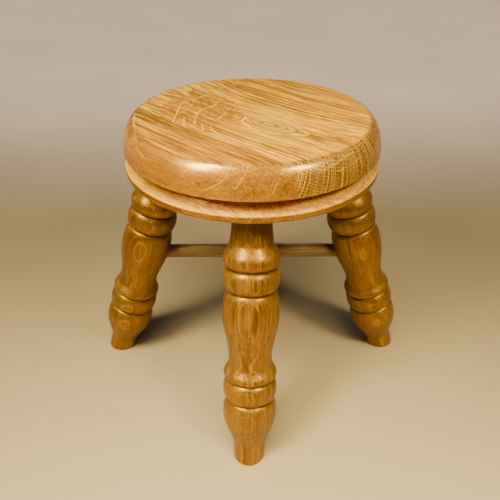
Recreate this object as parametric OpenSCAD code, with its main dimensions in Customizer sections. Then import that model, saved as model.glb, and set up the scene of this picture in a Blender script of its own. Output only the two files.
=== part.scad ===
// Turned oak footstool. A round seat, glued up from three boards, stands on four splayed
// turned legs that are joined in opposite pairs by two round stretchers.
// Millimetres, +Z up. The origin is on the floor under the middle of the seat.
// The front leg points along -Y and the right leg along +X.

/* [Stool] */
// Height of the seat's rim above the floor
stool_h = 301; // [290:1:330]

/* [Seat] */
// Widest diameter of the rounded edge
seat_d = 250; // [236:1:280]
// Thickness of the seat from its flat ring to its underside
seat_thickness = 47; // [44:0.5:56]
// Diameter at which the rounded edge meets the flat ring
flat_ring_d = 223.6; // [218:0.2:232]
// Diameter of the shallow dish that is turned into the top
dish_d = 212; // [180:1:216]
// Depth of the dish at its middle
dish_depth = 4; // [1:0.5:6]
// Height of the rounded edge, down to its sharp lower corner
round_h = 27; // [22:0.5:29]
// How full the rounded edge is, where 2 is a true quarter ellipse
round_fullness = 1.85; // [1.5:0.05:2.4]
// Radius of the hollow between the rounded edge and the thin rim
hollow_r = 14; // [9:0.5:14]
// How far the thin rim stands out past the rounded edge
rim_overhang = 0.3; // [0:0.1:3]

/* [Seat boards] */
// Bearing of the boards' grain, counted from +X towards +Y
grain_bearing = -42; // [-60:1:-30]
// Distance of the front glue line from the seat's middle
front_joint = 63.5; // [40:0.5:80]
// Distance of the back glue line from the seat's middle
back_joint = 47.5; // [30:0.5:70]

/* [Legs] */
// Radius of the circle on which the leg axes meet the seat's underside
root_circle_r = 87.5; // [76:0.5:90]
// Radius of the circle on which the leg axes meet the floor
foot_circle_r = 165.5; // [140:0.5:180]
// How far the front foot has drifted sideways, anticlockwise from above
front_foot_drift = -2.5; // [-10:0.5:10]
// How far the right foot has drifted sideways
right_foot_drift = -2; // [-10:0.5:10]
// How far the back foot has drifted sideways
back_foot_drift = 0; // [-10:0.5:10]
// How far the left foot has drifted sideways
left_foot_drift = 8; // [-10:0.5:10]

/* [Leg turning, from the seat down] */
// Diameter of the neck at the seat
neck_d = 35; // [32:0.2:40]
// Diameter of the neck where it starts to flare
neck_low_d = 39.8; // [36:0.2:44]
// Length of the neck
neck_len = 36; // [28:0.5:42]
// Diameter of the collar under the neck
collar_d = 52.2; // [48:0.2:56]
// Length of the flare from the neck to the collar's crest
collar_flare_len = 15; // [10:0.5:20]
// Length of the collar below its crest
collar_under_len = 9.2; // [6:0.2:12]
// Diameter at the bottom of the creases beside the upper ring
upper_crease_d = 42; // [38:0.2:45]
// Diameter of the upper ring
upper_ring_d = 52.8; // [49:0.2:57]
// Length of the upper ring above its crest
upper_ring_top_len = 10.3; // [7:0.1:13]
// Length of the upper ring below its crest
upper_ring_low_len = 12.1; // [9:0.1:15]
// Diameter of the vase at its shoulder
vase_d = 53.4; // [50:0.2:57]
// Length of the vase above its widest place
vase_shoulder_len = 22.4; // [16:0.2:28]
// Length of the vase from its widest place to its waist
vase_taper_len = 46; // [38:0.5:52]
// Diameter of the waist
waist_d = 41.6; // [36:0.2:45]
// Diameter of the lip under the waist
lip_d = 51.8; // [47:0.2:55]
// Length of the flare from the waist to the lip's crest
lip_flare_len = 17.5; // [11:0.5:20]
// Length of the lip below its crest
lip_under_len = 5.8; // [4:0.2:9]
// Diameter at the bottom of the creases beside the lower ring
lower_crease_d = 42.6; // [38:0.2:45]
// Diameter of the lower ring
lower_ring_d = 52.8; // [48:0.2:56]
// Length of the lower ring above its crest
lower_ring_top_len = 12; // [8:0.1:13]
// Length of the lower ring below its crest
lower_ring_low_len = 10.8; // [9:0.1:14]
// Diameter of the bulb
bulb_d = 52.6; // [49:0.2:57]
// Length of the bulb above its widest place
bulb_top_len = 14.5; // [10:0.5:18]
// Length of the bulb from its widest place to the ankle
bulb_low_len = 40.5; // [30:0.5:46]
// Diameter of the ankle
ankle_d = 31.8; // [30:0.2:36]
// Diameter of the foot at its end
foot_d = 31.8; // [30:0.2:38]

/* [Leg joints] */
// Diameter of the round tenon at the top of each leg
tenon_d = 25; // [20:0.5:25.5]
// Length of the tenon inside the seat
tenon_len = 28; // [20:0.5:32]
// Room left past the end of each tenon and each stretcher
end_gap = 1.5; // [0.5:0.1:2.5]
// Room for glue round each tenon and each stretcher
glue_gap = 0.1; // [0.05:0.01:0.2]

/* [Glued strip of the right leg] */
// Distance of the strip's glue line from the leg's axis
strip_offset = 13; // [13:0.1:14]
// Bearing of the strip round the leg's axis, counted from the leg's outer side
strip_bearing = 168; // [140:1:200]

/* [Stretchers] */
// Diameter of each stretcher
stretcher_d = 15; // [12:0.5:18]
// Height of the left to right stretcher above the floor
low_stretcher_h = 141; // [130:1:152]
// Gap between the two stretchers where they cross
crossing_gap = 1; // [0.4:0.1:6]
// Distance from a leg's axis to the end of the stretcher in it
stretcher_stop = 5; // [3:0.5:8]

/* [Hidden] */
$fn = 96;

seat_r = seat_d / 2;
rim_r = seat_r + rim_overhang;
seat_under = stool_h - seat_thickness;
high_stretcher_h = low_stretcher_h + stretcher_d + crossing_gap;

// A size larger than the stool, for blocks that cut it
beyond = 2 * (foot_circle_r + seat_d);

// Bearings of the legs, and how far each foot has drifted along its circle
FRONT = 0;
RIGHT = 1;
BACK = 2;
LEFT = 3;
leg_bearings = [-90, 0, 90, 180];
foot_drifts = [front_foot_drift, right_foot_drift, back_foot_drift, left_foot_drift];

// Steps in each curved stretch of an outline
short_curve_steps = 8;
long_curve_steps = 16;

function on_circle(r, bearing, z) = [r * cos(bearing), r * sin(bearing), z];

// Where a leg's axis meets the seat's underside and the floor
function leg_root(k) = on_circle(root_circle_r, leg_bearings[k], seat_under);
function leg_foot(k) =
    on_circle(foot_circle_r, leg_bearings[k] + foot_drifts[k] / foot_circle_r * 180 / PI, 0);
function leg_run(k) = leg_foot(k) - leg_root(k);
function leg_splay(k) = atan2(norm([leg_run(k).x, leg_run(k).y]), seat_under);
function leg_heading(k) = atan2(leg_run(k).y, leg_run(k).x);
function leg_axis_at(k, z) = leg_root(k) + leg_run(k) * (seat_under - z) / seat_under;

// Outline stretches as [distance, radius] pairs, each without its first point.
// A swell leaves a crease square to the axis and levels out at its crest.
function swell(s0, r0, s1, r1, fullness = 2, steps = short_curve_steps) = [
    for (i = [1:steps]) let (a = 90 * i / steps)
        [s1 - (s1 - s0) * pow(cos(a), 2 / fullness), r0 + (r1 - r0) * pow(sin(a), 2 / fullness)]
];

// A fall is a swell the other way round: level at its crest, square to the axis at its crease.
function fall(s0, r0, s1, r1, fullness = 2, steps = short_curve_steps) = [
    for (i = [1:steps]) let (a = 90 * i / steps)
        [s0 + (s1 - s0) * pow(sin(a), 2 / fullness), r1 + (r0 - r1) * pow(cos(a), 2 / fullness)]
];

// An ogee runs level at both ends. A lag above 1 puts its steep part further on.
function ogee(s0, r0, s1, r1, lag = 1, steps = long_curve_steps) = [
    for (i = [1:steps]) let (u = i / steps)
        [s0 + (s1 - s0) * u, r0 + (r1 - r0) * (1 - cos(180 * pow(u, lag))) / 2]
];

// Seat outline

function seat_outline() = concat(
    [for (i = [0:short_curve_steps]) let (u = i / short_curve_steps)
        [u * dish_d / 2, -dish_depth * (1 - u * u)]],
    [[flat_ring_d / 2, 0]],
    [for (p = swell(0, flat_ring_d / 2, -round_h, seat_r, round_fullness, long_curve_steps))
        [p[1], p[0]]],
    [[rim_r - hollow_r, -round_h]],
    [for (i = [1:long_curve_steps]) let (a = 90 * i / long_curve_steps)
        [rim_r - hollow_r * cos(a), -round_h - hollow_r * sin(a)]],
    [[rim_r, -seat_thickness], [0, -seat_thickness]]
);

module turned_seat() {
    translate([0, 0, stool_h])
        rotate_extrude()
            polygon(seat_outline());
}

// Frame of a leg: the origin is where its axis meets the seat's underside, -Z runs
// down the axis to the foot, and +X is the leg's outer side.
module on_leg(k) {
    translate(leg_root(k))
        rotate([0, -leg_splay(k), leg_heading(k)])
            children();
}

module mortise(k) {
    deep = tenon_len + end_gap;
    on_leg(k)
        translate([0, 0, -deep])
            cylinder(d = tenon_d + 2 * glue_gap, h = 2 * deep);
}

// The part of the seat between two lines parallel to the grain
module seat_board(from_line, to_line) {
    difference() {
        intersection() {
            turned_seat();
            rotate([0, 0, grain_bearing])
                translate([-beyond / 2, from_line, 0])
                    cube([beyond, to_line - from_line, beyond]);
        }
        for (k = [FRONT:LEFT]) mortise(k);
    }
}

module seat_board_front() {
    color("#c9944a") seat_board(-beyond / 2, -front_joint);
}

module seat_board_middle() {
    color("#d9ab64") seat_board(-front_joint, back_joint);
}

module seat_board_back() {
    color("#cd9b54") seat_board(back_joint, beyond / 2);
}

// Leg outline, from the seat down

collar_at = neck_len + collar_flare_len;
crease_1_at = collar_at + collar_under_len;
upper_ring_at = crease_1_at + upper_ring_top_len;
crease_2_at = upper_ring_at + upper_ring_low_len;
vase_at = crease_2_at + vase_shoulder_len;
waist_at = vase_at + vase_taper_len;
lip_at = waist_at + lip_flare_len;
crease_3_at = lip_at + lip_under_len;
lower_ring_at = crease_3_at + lower_ring_top_len;
crease_4_at = lower_ring_at + lower_ring_low_len;
bulb_at = crease_4_at + bulb_top_len;
ankle_at = bulb_at + bulb_low_len;

// How full the vase's shoulder is, and where the long curves are steepest
vase_fullness = 2.2;
collar_lag = 0.9;
vase_lag = 1.15;
lip_lag = 1.8;
bulb_lag = 1.2;

// The blank is turned past the floor line, and the foot is then sawn level with the floor
function leg_end(k) = max(norm(leg_run(k)), ankle_at) + foot_d * tan(leg_splay(k));

function neck_curve() = [
    for (i = [0:short_curve_steps]) let (u = i / short_curve_steps)
        [neck_len * u, neck_d / 2 + (neck_low_d - neck_d) / 2 * u * u]
];

function leg_outline(k) = concat(
    neck_curve(),
    ogee(neck_len, neck_low_d / 2, collar_at, collar_d / 2, collar_lag),
    fall(collar_at, collar_d / 2, crease_1_at, upper_crease_d / 2),
    swell(crease_1_at, upper_crease_d / 2, upper_ring_at, upper_ring_d / 2),
    fall(upper_ring_at, upper_ring_d / 2, crease_2_at, upper_crease_d / 2),
    swell(crease_2_at, upper_crease_d / 2, vase_at, vase_d / 2, vase_fullness),
    ogee(vase_at, vase_d / 2, waist_at, waist_d / 2, vase_lag),
    ogee(waist_at, waist_d / 2, lip_at, lip_d / 2, lip_lag),
    fall(lip_at, lip_d / 2, crease_3_at, lower_crease_d / 2),
    swell(crease_3_at, lower_crease_d / 2, lower_ring_at, lower_ring_d / 2),
    fall(lower_ring_at, lower_ring_d / 2, crease_4_at, lower_crease_d / 2),
    swell(crease_4_at, lower_crease_d / 2, bulb_at, bulb_d / 2),
    ogee(bulb_at, bulb_d / 2, ankle_at, ankle_d / 2, bulb_lag),
    [[leg_end(k), foot_d / 2], [leg_end(k), 0], [0, 0]]
);

// How far the turning's start is turned away from the leg's outer side, where the level
// cuts at the foot and the neck have their lowest and highest points
turning_start = 45;

// The turned neck runs on past the seat's underside before it is cut level with it
module turned_leg(k) {
    on_leg(k)
        rotate([0, 0, turning_start]) {
            rotate_extrude()
                polygon([for (p = leg_outline(k)) [p[1], -p[0]]]);
            cylinder(d = neck_d, h = neck_d);
        }
}

module tenon(k) {
    on_leg(k)
        translate([0, 0, -neck_d / 2])
            cylinder(d = tenon_d, h = tenon_len + neck_d / 2);
}

// Space between the floor and the seat's underside
module under_seat() {
    translate([-beyond / 2, -beyond / 2, 0])
        cube([beyond, beyond, seat_under]);
}

// Stretchers run straight from one leg's axis to the opposite leg's axis

function stretcher_h(k) = (k == LEFT || k == RIGHT) ? low_stretcher_h : high_stretcher_h;
function opposite(k) = (k + 2) % 4;

module along_stretcher(k) {
    from = leg_axis_at(opposite(k), stretcher_h(k));
    to = leg_axis_at(k, stretcher_h(k));
    translate((from + to) / 2)
        rotate([0, 90, atan2((to - from).y, (to - from).x)])
            children();
}

// Half of the distance between two opposite leg axes at their stretcher's height
function half_span(k) =
    norm(leg_axis_at(k, stretcher_h(k)) - leg_axis_at(opposite(k), stretcher_h(k))) / 2;

module stretcher(k) {
    length = 2 * (half_span(k) - stretcher_stop);
    along_stretcher(k)
        cylinder(d = stretcher_d, h = length, center = true);
}

module stretcher_hole(k) {
    along_stretcher(k)
        cylinder(d = stretcher_d + 2 * glue_gap, h = half_span(k) - stretcher_stop + end_gap);
}

module leg(k) {
    difference() {
        union() {
            intersection() {
                turned_leg(k);
                under_seat();
            }
            tenon(k);
        }
        stretcher_hole(k);
    }
}

// The block of wood beyond the glue line on the inner side of the right leg
module strip_block() {
    on_leg(RIGHT)
        rotate([0, 0, strip_bearing])
            translate([strip_offset, -beyond / 2, -beyond])
                cube([beyond, beyond, 2 * beyond]);
}

module leg_front() {
    color("#9d6426") leg(FRONT);
}

module leg_right() {
    color("#9f6a2b")
        difference() {
            leg(RIGHT);
            strip_block();
        }
}

module leg_right_strip() {
    color("#ad7a3a")
        intersection() {
            leg(RIGHT);
            strip_block();
        }
}

module leg_back() {
    color("#9d6426") leg(BACK);
}

module leg_left() {
    color("#965f24") leg(LEFT);
}

module stretcher_left_right() {
    color("#8f7450") stretcher(RIGHT);
}

module stretcher_front_back() {
    color("#8f7450") stretcher(BACK);
}

seat_board_front();
seat_board_middle();
seat_board_back();
leg_front();
leg_right();
leg_right_strip();
leg_back();
leg_left();
stretcher_left_right();
stretcher_front_back();
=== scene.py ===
"""A turned oak footstool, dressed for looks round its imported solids. Lengths below are in
millimetres unless a name or comment says metres; the scene itself is in metres, +Z up."""

import math

import bmesh
import bpy
from mathutils import Matrix, Vector


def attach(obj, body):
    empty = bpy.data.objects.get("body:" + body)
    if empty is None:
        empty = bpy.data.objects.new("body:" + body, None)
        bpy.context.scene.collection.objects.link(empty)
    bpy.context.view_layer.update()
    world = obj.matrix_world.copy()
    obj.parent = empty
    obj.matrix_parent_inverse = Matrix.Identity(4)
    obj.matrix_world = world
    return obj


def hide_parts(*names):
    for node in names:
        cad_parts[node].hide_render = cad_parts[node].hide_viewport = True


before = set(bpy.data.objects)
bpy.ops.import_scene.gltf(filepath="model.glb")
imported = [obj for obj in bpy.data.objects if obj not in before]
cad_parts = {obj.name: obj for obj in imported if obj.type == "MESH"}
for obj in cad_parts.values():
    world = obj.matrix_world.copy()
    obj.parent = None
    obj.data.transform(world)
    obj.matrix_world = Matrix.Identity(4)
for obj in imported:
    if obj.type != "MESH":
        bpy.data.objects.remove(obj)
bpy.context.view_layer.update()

MM = 0.001

# Stool
STOOL_H = 301
SEAT_R = 125
SEAT_THICKNESS = 47
SEAT_UNDER = STOOL_H - SEAT_THICKNESS

# Seat outline
FLAT_RING_R = 111.8
DISH_R = 106
DISH_DEPTH = 4
ROUND_H = 27
ROUND_FULLNESS = 1.85
HOLLOW_R = 14
RIM_R = 125.3
WIDEST_H = STOOL_H - ROUND_H
COVE_LOW_H = WIDEST_H - HOLLOW_R

# Seat boards, laid along the grain
GRAIN_BEARING = math.radians(-42)
ALONG = Vector((math.cos(GRAIN_BEARING), math.sin(GRAIN_BEARING), 0))
ACROSS = Vector((-math.sin(GRAIN_BEARING), math.cos(GRAIN_BEARING), 0))
UP = Vector((0, 0, 1))
FRONT_JOINT = 63.5
BACK_JOINT = 47.5

# Legs: bearing in degrees, and sideways drift of the foot. The feet are eased at the floor, and
# inside the seat the tenons lean across the grain by less than TENON_LEAN
ROOT_CIRCLE_R = 87.5
FOOT_CIRCLE_R = 165.5
LEGS = {
    "leg_front": (-90, -2.5),
    "leg_right": (0, -2),
    "leg_back": (90, 0),
    "leg_left": (180, 8),
}
FOOT_EASE = 1.8
FOOT_ROWS = (0.4, 1.0, FOOT_EASE)
TENON_R = 12.5
TENON_LEN = 28
TENON_LEAN = 8
GLUE_GAP = 0.1
END_GAP = 1.5
STRIP_OFFSET = 13
STRIP_BEARING = math.radians(168)

# Stretchers: the legs that each joins, and its height; they stop short of the legs' axes
STRETCHER_R = 7.5
STRETCHER_STOP = 5
STRETCHERS = {
    "stretcher_left_right": ("leg_left", "leg_right", 141),
    "stretcher_front_back": ("leg_front", "leg_back", 157),
}

# Flat sides of the turned forms, and rows of points along a stretcher
SEAT_SIDES = 360
LEG_SIDES = 112
ROD_SIDES = 64
ROD_ROWS = 120


# Outlines


def quarter_turn(steps):
    """Evenly spaced angles of a quarter turn, without the first one."""
    return [math.pi / 2 * i / steps for i in range(1, steps + 1)]


def even_shares(steps):
    """Evenly spaced shares up to 1, without 0."""
    return [i / steps for i in range(1, steps + 1)]


def swell(start, start_r, end, end_r, fullness=2.0, steps=10):
    """From a crease square to the axis out to a level crest, without the first point."""
    power = 2 / fullness
    return [
        (
            end - (end - start) * max(math.cos(angle), 0) ** power,
            start_r + (end_r - start_r) * math.sin(angle) ** power,
        )
        for angle in quarter_turn(steps)
    ]


def fall(start, start_r, end, end_r, fullness=2.0, steps=10):
    """From a level crest down to a crease square to the axis, without the first point."""
    power = 2 / fullness
    return [
        (
            start + (end - start) * math.sin(angle) ** power,
            end_r + (start_r - end_r) * max(math.cos(angle), 0) ** power,
        )
        for angle in quarter_turn(steps)
    ]


def ogee(start, start_r, end, end_r, lag=1.0, steps=24):
    """A curve that runs level at both ends, without the first point."""
    return [
        (
            start + (end - start) * share,
            start_r + (end_r - start_r) * (1 - math.cos(math.pi * share**lag)) / 2,
        )
        for share in even_shares(steps)
    ]


def straight(start, start_r, end, end_r, steps):
    """Evenly spaced points on a straight line, without the first point."""
    return [
        (start + (end - start) * share, start_r + (end_r - start_r) * share)
        for share in even_shares(steps)
    ]


# Where the leg's crests and creases lie, down its axis from the seat, and their radii
NECK = (0, 17.5)
NECK_LOW = (36, 19.9)
COLLAR = (51, 26.1)
CREASE_1 = (60.2, 21)
UPPER_RING = (70.5, 26.4)
CREASE_2 = (82.6, 21)
VASE = (105, 26.7)
WAIST = (151, 20.8)
LIP = (168.5, 25.9)
CREASE_3 = (174.3, 21.3)
LOWER_RING = (186.3, 26.4)
CREASE_4 = (197.1, 21.3)
BULB = (211.6, 26.3)
ANKLE = (252.1, 15.9)
FOOT = (282, 15.9)
CREASES = (CREASE_1, CREASE_2, CREASE_3, CREASE_4)
ABOVE_SEAT = 18


def leg_outline():
    """(distance down the axis, radius) pairs, from inside the seat to past the floor."""
    widening = NECK_LOW[1] - NECK[1]
    neck = [
        (NECK_LOW[0] * share, NECK[1] + widening * share * share)
        for share in [0, *even_shares(24)]
    ]
    return (
        [(-ABOVE_SEAT, NECK[1]), (-ABOVE_SEAT / 2, NECK[1])]
        + neck
        + ogee(*NECK_LOW, *COLLAR, lag=0.9)
        + fall(*COLLAR, *CREASE_1)
        + swell(*CREASE_1, *UPPER_RING)
        + fall(*UPPER_RING, *CREASE_2)
        + swell(*CREASE_2, *VASE, fullness=2.2, steps=16)
        + ogee(*VASE, *WAIST, lag=1.15, steps=36)
        + ogee(*WAIST, *LIP, lag=1.8)
        + fall(*LIP, *CREASE_3)
        + swell(*CREASE_3, *LOWER_RING)
        + fall(*LOWER_RING, *CREASE_4)
        + swell(*CREASE_4, *BULB)
        + ogee(*BULB, *ANKLE, lag=1.2, steps=40)
        + straight(*ANKLE, *FOOT, steps=40)
    )


def seat_outline():
    """(radius, height above the flat ring) pairs, from the dish round to the underside."""
    dish = [
        (DISH_R * share, -DISH_DEPTH * (1 - share * share)) for share in [0, *even_shares(40)]
    ]
    rounded = swell(0, FLAT_RING_R, ROUND_H, SEAT_R, fullness=ROUND_FULLNESS, steps=40)
    hollow = [
        (RIM_R - HOLLOW_R * math.cos(angle), -ROUND_H - HOLLOW_R * math.sin(angle))
        for angle in [0, *quarter_turn(28)]
    ]
    return (
        dish
        + straight(DISH_R, 0, FLAT_RING_R, 0, steps=6)
        + [(radius, -down) for down, radius in rounded]
        + straight(SEAT_R, -ROUND_H, *hollow[0], steps=8)[:-1]
        + hollow
        + straight(RIM_R, -ROUND_H - HOLLOW_R, RIM_R, -SEAT_THICKNESS, steps=6)
        + straight(RIM_R, -SEAT_THICKNESS, 0, -SEAT_THICKNESS, steps=12)
    )


# Solids

# What counts as on the axis in millimetres, and as the same spot in metres
ON_AXIS = 1e-6
SAME_SPOT_M = 1e-7
CRISP_ANGLE = math.radians(32)


def turn(outline, sides):
    """Turns (radius, height) pairs round +Z into a closed blank, in metres."""
    blank = bmesh.new()
    angles = [math.tau * i / sides for i in range(sides)]
    rings = []
    for radius, height in outline:
        ring = [
            blank.verts.new(
                (radius * MM * math.cos(angle), radius * MM * math.sin(angle), height * MM)
            )
            for angle in (angles[:1] if radius < ON_AXIS else angles)
        ]
        rings.append(ring)
    for upper, lower in zip(rings, rings[1:]):
        for i in range(sides):
            j = (i + 1) % sides
            corners = [upper[i % len(upper)], lower[i % len(lower)]]
            corners += [lower[j % len(lower)], upper[j % len(upper)]]
            corners = list(dict.fromkeys(corners))
            if len(corners) > 2:
                blank.faces.new(corners)
    for ring in (rings[0], rings[-1]):
        if len(ring) > 1:
            blank.faces.new(ring)
    bmesh.ops.recalc_face_normals(blank, faces=blank.faces[:])
    return blank


def score(blank, point, normal, saw_off=False):
    """Cuts edges along a plane, saws off its far side if asked, and gives the new edges."""
    everything = blank.verts[:] + blank.edges[:] + blank.faces[:]
    cut = bmesh.ops.bisect_plane(
        blank,
        geom=everything,
        dist=SAME_SPOT_M,
        plane_co=point,
        plane_no=normal,
        clear_outer=saw_off,
    )
    return [e for e in cut["geom_cut"] if isinstance(e, bmesh.types.BMEdge)]


def saw(blank, point, normal):
    """Saws off what lies beyond a plane, on its normal's side, and closes the cut."""
    edges = score(blank, point, normal, saw_off=True)
    made = bmesh.ops.edgeloop_fill(blank, edges=edges)["faces"]
    bmesh.ops.triangulate(blank, faces=made, quad_method="BEAUTY", ngon_method="EAR_CLIP")
    bmesh.ops.recalc_face_normals(blank, faces=blank.faces[:])


def saw_through_hole(blank, point, normal):
    """Saws off what lies beyond a plane that crosses a hole, and closes each open outline."""
    edges = score(blank, point, normal, saw_off=True)
    bmesh.ops.triangle_fill(blank, edges=edges, use_beauty=True, use_dissolve=False)
    bmesh.ops.recalc_face_normals(blank, faces=blank.faces[:])


def put_in_scene(name, data):
    """A new scene object of a mesh, a camera or a light."""
    thing = bpy.data.objects.new(name, data)
    bpy.context.scene.collection.objects.link(thing)
    return thing


def piece_from(blank, name):
    """Makes a scene object of a blank."""
    mesh = bpy.data.meshes.new(name)
    blank.to_mesh(mesh)
    blank.free()
    return put_in_scene(name, mesh)


def round_bar(radius, length, place):
    """A plain round bar from place's origin along its +Z, as a cutting or joining tool."""
    blank = turn([(radius, 0), (radius, length)], ROD_SIDES)
    blank.transform(place)
    return piece_from(blank, "bar")


def work(piece, tool, operation):
    """Joins a tool to a piece, or cuts it out of it, and removes the tool."""
    joiner = piece.modifiers.new(operation.lower(), "BOOLEAN")
    joiner.operation = operation
    joiner.solver = "MANIFOLD"
    joiner.object = tool
    bpy.context.view_layer.update()
    graph = bpy.context.evaluated_depsgraph_get()
    worked = bpy.data.meshes.new_from_object(piece.evaluated_get(graph))
    piece.modifiers.clear()
    piece.data = worked
    bpy.data.objects.remove(tool)


def finish_piece(piece, node, material):
    """Smooths all but the crisp arrises, and puts the piece in the place of its solid."""
    mesh = piece.data
    mesh.shade_smooth()
    mesh.set_sharp_from_angle(angle=CRISP_ANGLE)
    mesh.materials.clear()
    mesh.materials.append(material)
    mesh.name = piece.name
    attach(piece, "root")
    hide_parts(node)


# Places of the legs and stretchers


def on_circle(radius, bearing, height):
    """A point on a level circle round the stool's axis."""
    return Vector((radius * math.cos(bearing), radius * math.sin(bearing), height))


def leg_ends(leg):
    """Where a leg's axis meets the seat's underside and the floor, in millimetres."""
    degrees, drift = LEGS[leg]
    bearing = math.radians(degrees)
    root = on_circle(ROOT_CIRCLE_R, bearing, SEAT_UNDER)
    return root, on_circle(FOOT_CIRCLE_R, bearing + drift / FOOT_CIRCLE_R, 0)


def leg_place(leg):
    """Frame of a leg: origin on the seat's underside, -Z down the axis, +X its outer side."""
    root, foot = leg_ends(leg)
    up = (root - foot).normalized()
    side = up.cross(Vector((foot.x - root.x, foot.y - root.y, 0))).normalized()
    outer = side.cross(up)
    place = Matrix((outer, side, up)).transposed().to_4x4()
    place.translation = root * MM
    return place


def axis_at(leg, height):
    """The point of a leg's axis at a height above the floor."""
    root, foot = leg_ends(leg)
    return foot.lerp(root, height / SEAT_UNDER)


def stretcher_place(from_leg, to_leg, height):
    """(frame with +Z from the middle towards to_leg, half the distance between the leg axes)."""
    start, end = axis_at(from_leg, height), axis_at(to_leg, height)
    along = (end - start).normalized()
    place = along.to_track_quat("Z", "Y").to_matrix().to_4x4()
    place.translation = (start + end) / 2 * MM
    return place, (end - start).length / 2


# Camera, floor and light

LENS = 36
SENSOR = 36
NEAREST_SEEN_M = 0.01
CAMERA_AT_M = (-0.00196, -0.46919, 0.47001)
CAMERA_PITCH = math.radians(35.14)
CAMERA_ROLL = 0.0021


def set_camera():
    """The camera that saw the stool in the photograph."""
    data = bpy.data.cameras.new("camera")
    data.lens = LENS
    data.sensor_width = SENSOR
    data.clip_start = NEAREST_SEEN_M
    camera = put_in_scene("camera", data)
    turn_down = Matrix.Rotation(math.pi / 2 - CAMERA_PITCH, 4, "X")
    roll = Matrix.Rotation(CAMERA_ROLL, 4, "Z")
    camera.matrix_world = Matrix.Translation(CAMERA_AT_M) @ turn_down @ roll
    bpy.context.scene.camera = camera


WARM = (1, 0.92, 0.55)
NEUTRAL = (1, 0.97, 0.9)
COOL = (1, 1, 1.2)
# Lights: place and aim in metres, size in metres, spread in degrees, watts, colour
SOFTBOXES = (
    ("left_softbox", (-0.687, -0.556, 1.05), (0, 0, 0.2), (0.28, 0.37), 180, 17, WARM),
    ("right_softbox", (0.66, -0.56, 1.10), (0, 0, 0.2), (0.23, 0.28), 180, 11, WARM),
    ("front_left_softbox", (-0.60, -0.49, 1.30), (-0.15, -0.35, 0), (0.4, 0.4), 40, 3.5, WARM),
    ("front_right_softbox", (0.75, -0.75, 1.2), (0.28, -0.33, 0), (0.3, 0.3), 35, 2, WARM),
)
# Panels that give no reflections: over the front leg, low in front, and over the floor behind
PANELS = (
    ("over_panel", (-0.05, -0.5, 1.5), (-0.05, -0.35, 0), (0.7, 0.5), 70, 8, WARM),
    ("low_fill", (-0.35, -1.35, 0.55), (0, 0, 0.2), (1.2, 0.5), 180, 3.5, NEUTRAL),
    ("far_panel", (-0.6, 1.93, 1.2), (-0.6, 1.93, 0), (4.6, 2.7), 50, 122, COOL),
)
ROOM_COLOUR = (0.6, 0.7, 1.1, 1)
ROOM_GLOW = 0.13


def soft_light(name, at_m, aim_m, size_m, spread, watts, colour):
    """A flat light that the camera doesn't see."""
    data = bpy.data.lights.new(name, "AREA")
    data.shape = "RECTANGLE"
    data.size, data.size_y = size_m
    data.spread = math.radians(spread)
    data.energy = watts
    data.color = colour
    light = put_in_scene(name, data)
    way = Vector(aim_m) - Vector(at_m)
    light.matrix_world = (
        Matrix.Translation(at_m) @ way.to_track_quat("-Z", "Y").to_matrix().to_4x4()
    )
    light.visible_camera = False
    return light


def set_lights():
    """Softboxes at both sides, dull panels and the room's own faint glow."""
    for softbox in SOFTBOXES:
        soft_light(*softbox)
    for panel in PANELS:
        soft_light(*panel).visible_glossy = False
    world = bpy.data.worlds.new("room")
    world.use_nodes = True
    background = world.node_tree.nodes["Background"]
    background.inputs["Color"].default_value = ROOM_COLOUR
    background.inputs["Strength"].default_value = ROOM_GLOW
    bpy.context.scene.world = world


# Node benches

# The colour mixing node's sockets, which share their names with others
MIX_SHARE, MIX_FIRST, MIX_SECOND = 0, 6, 7
MIX_RESULT = 2


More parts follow.
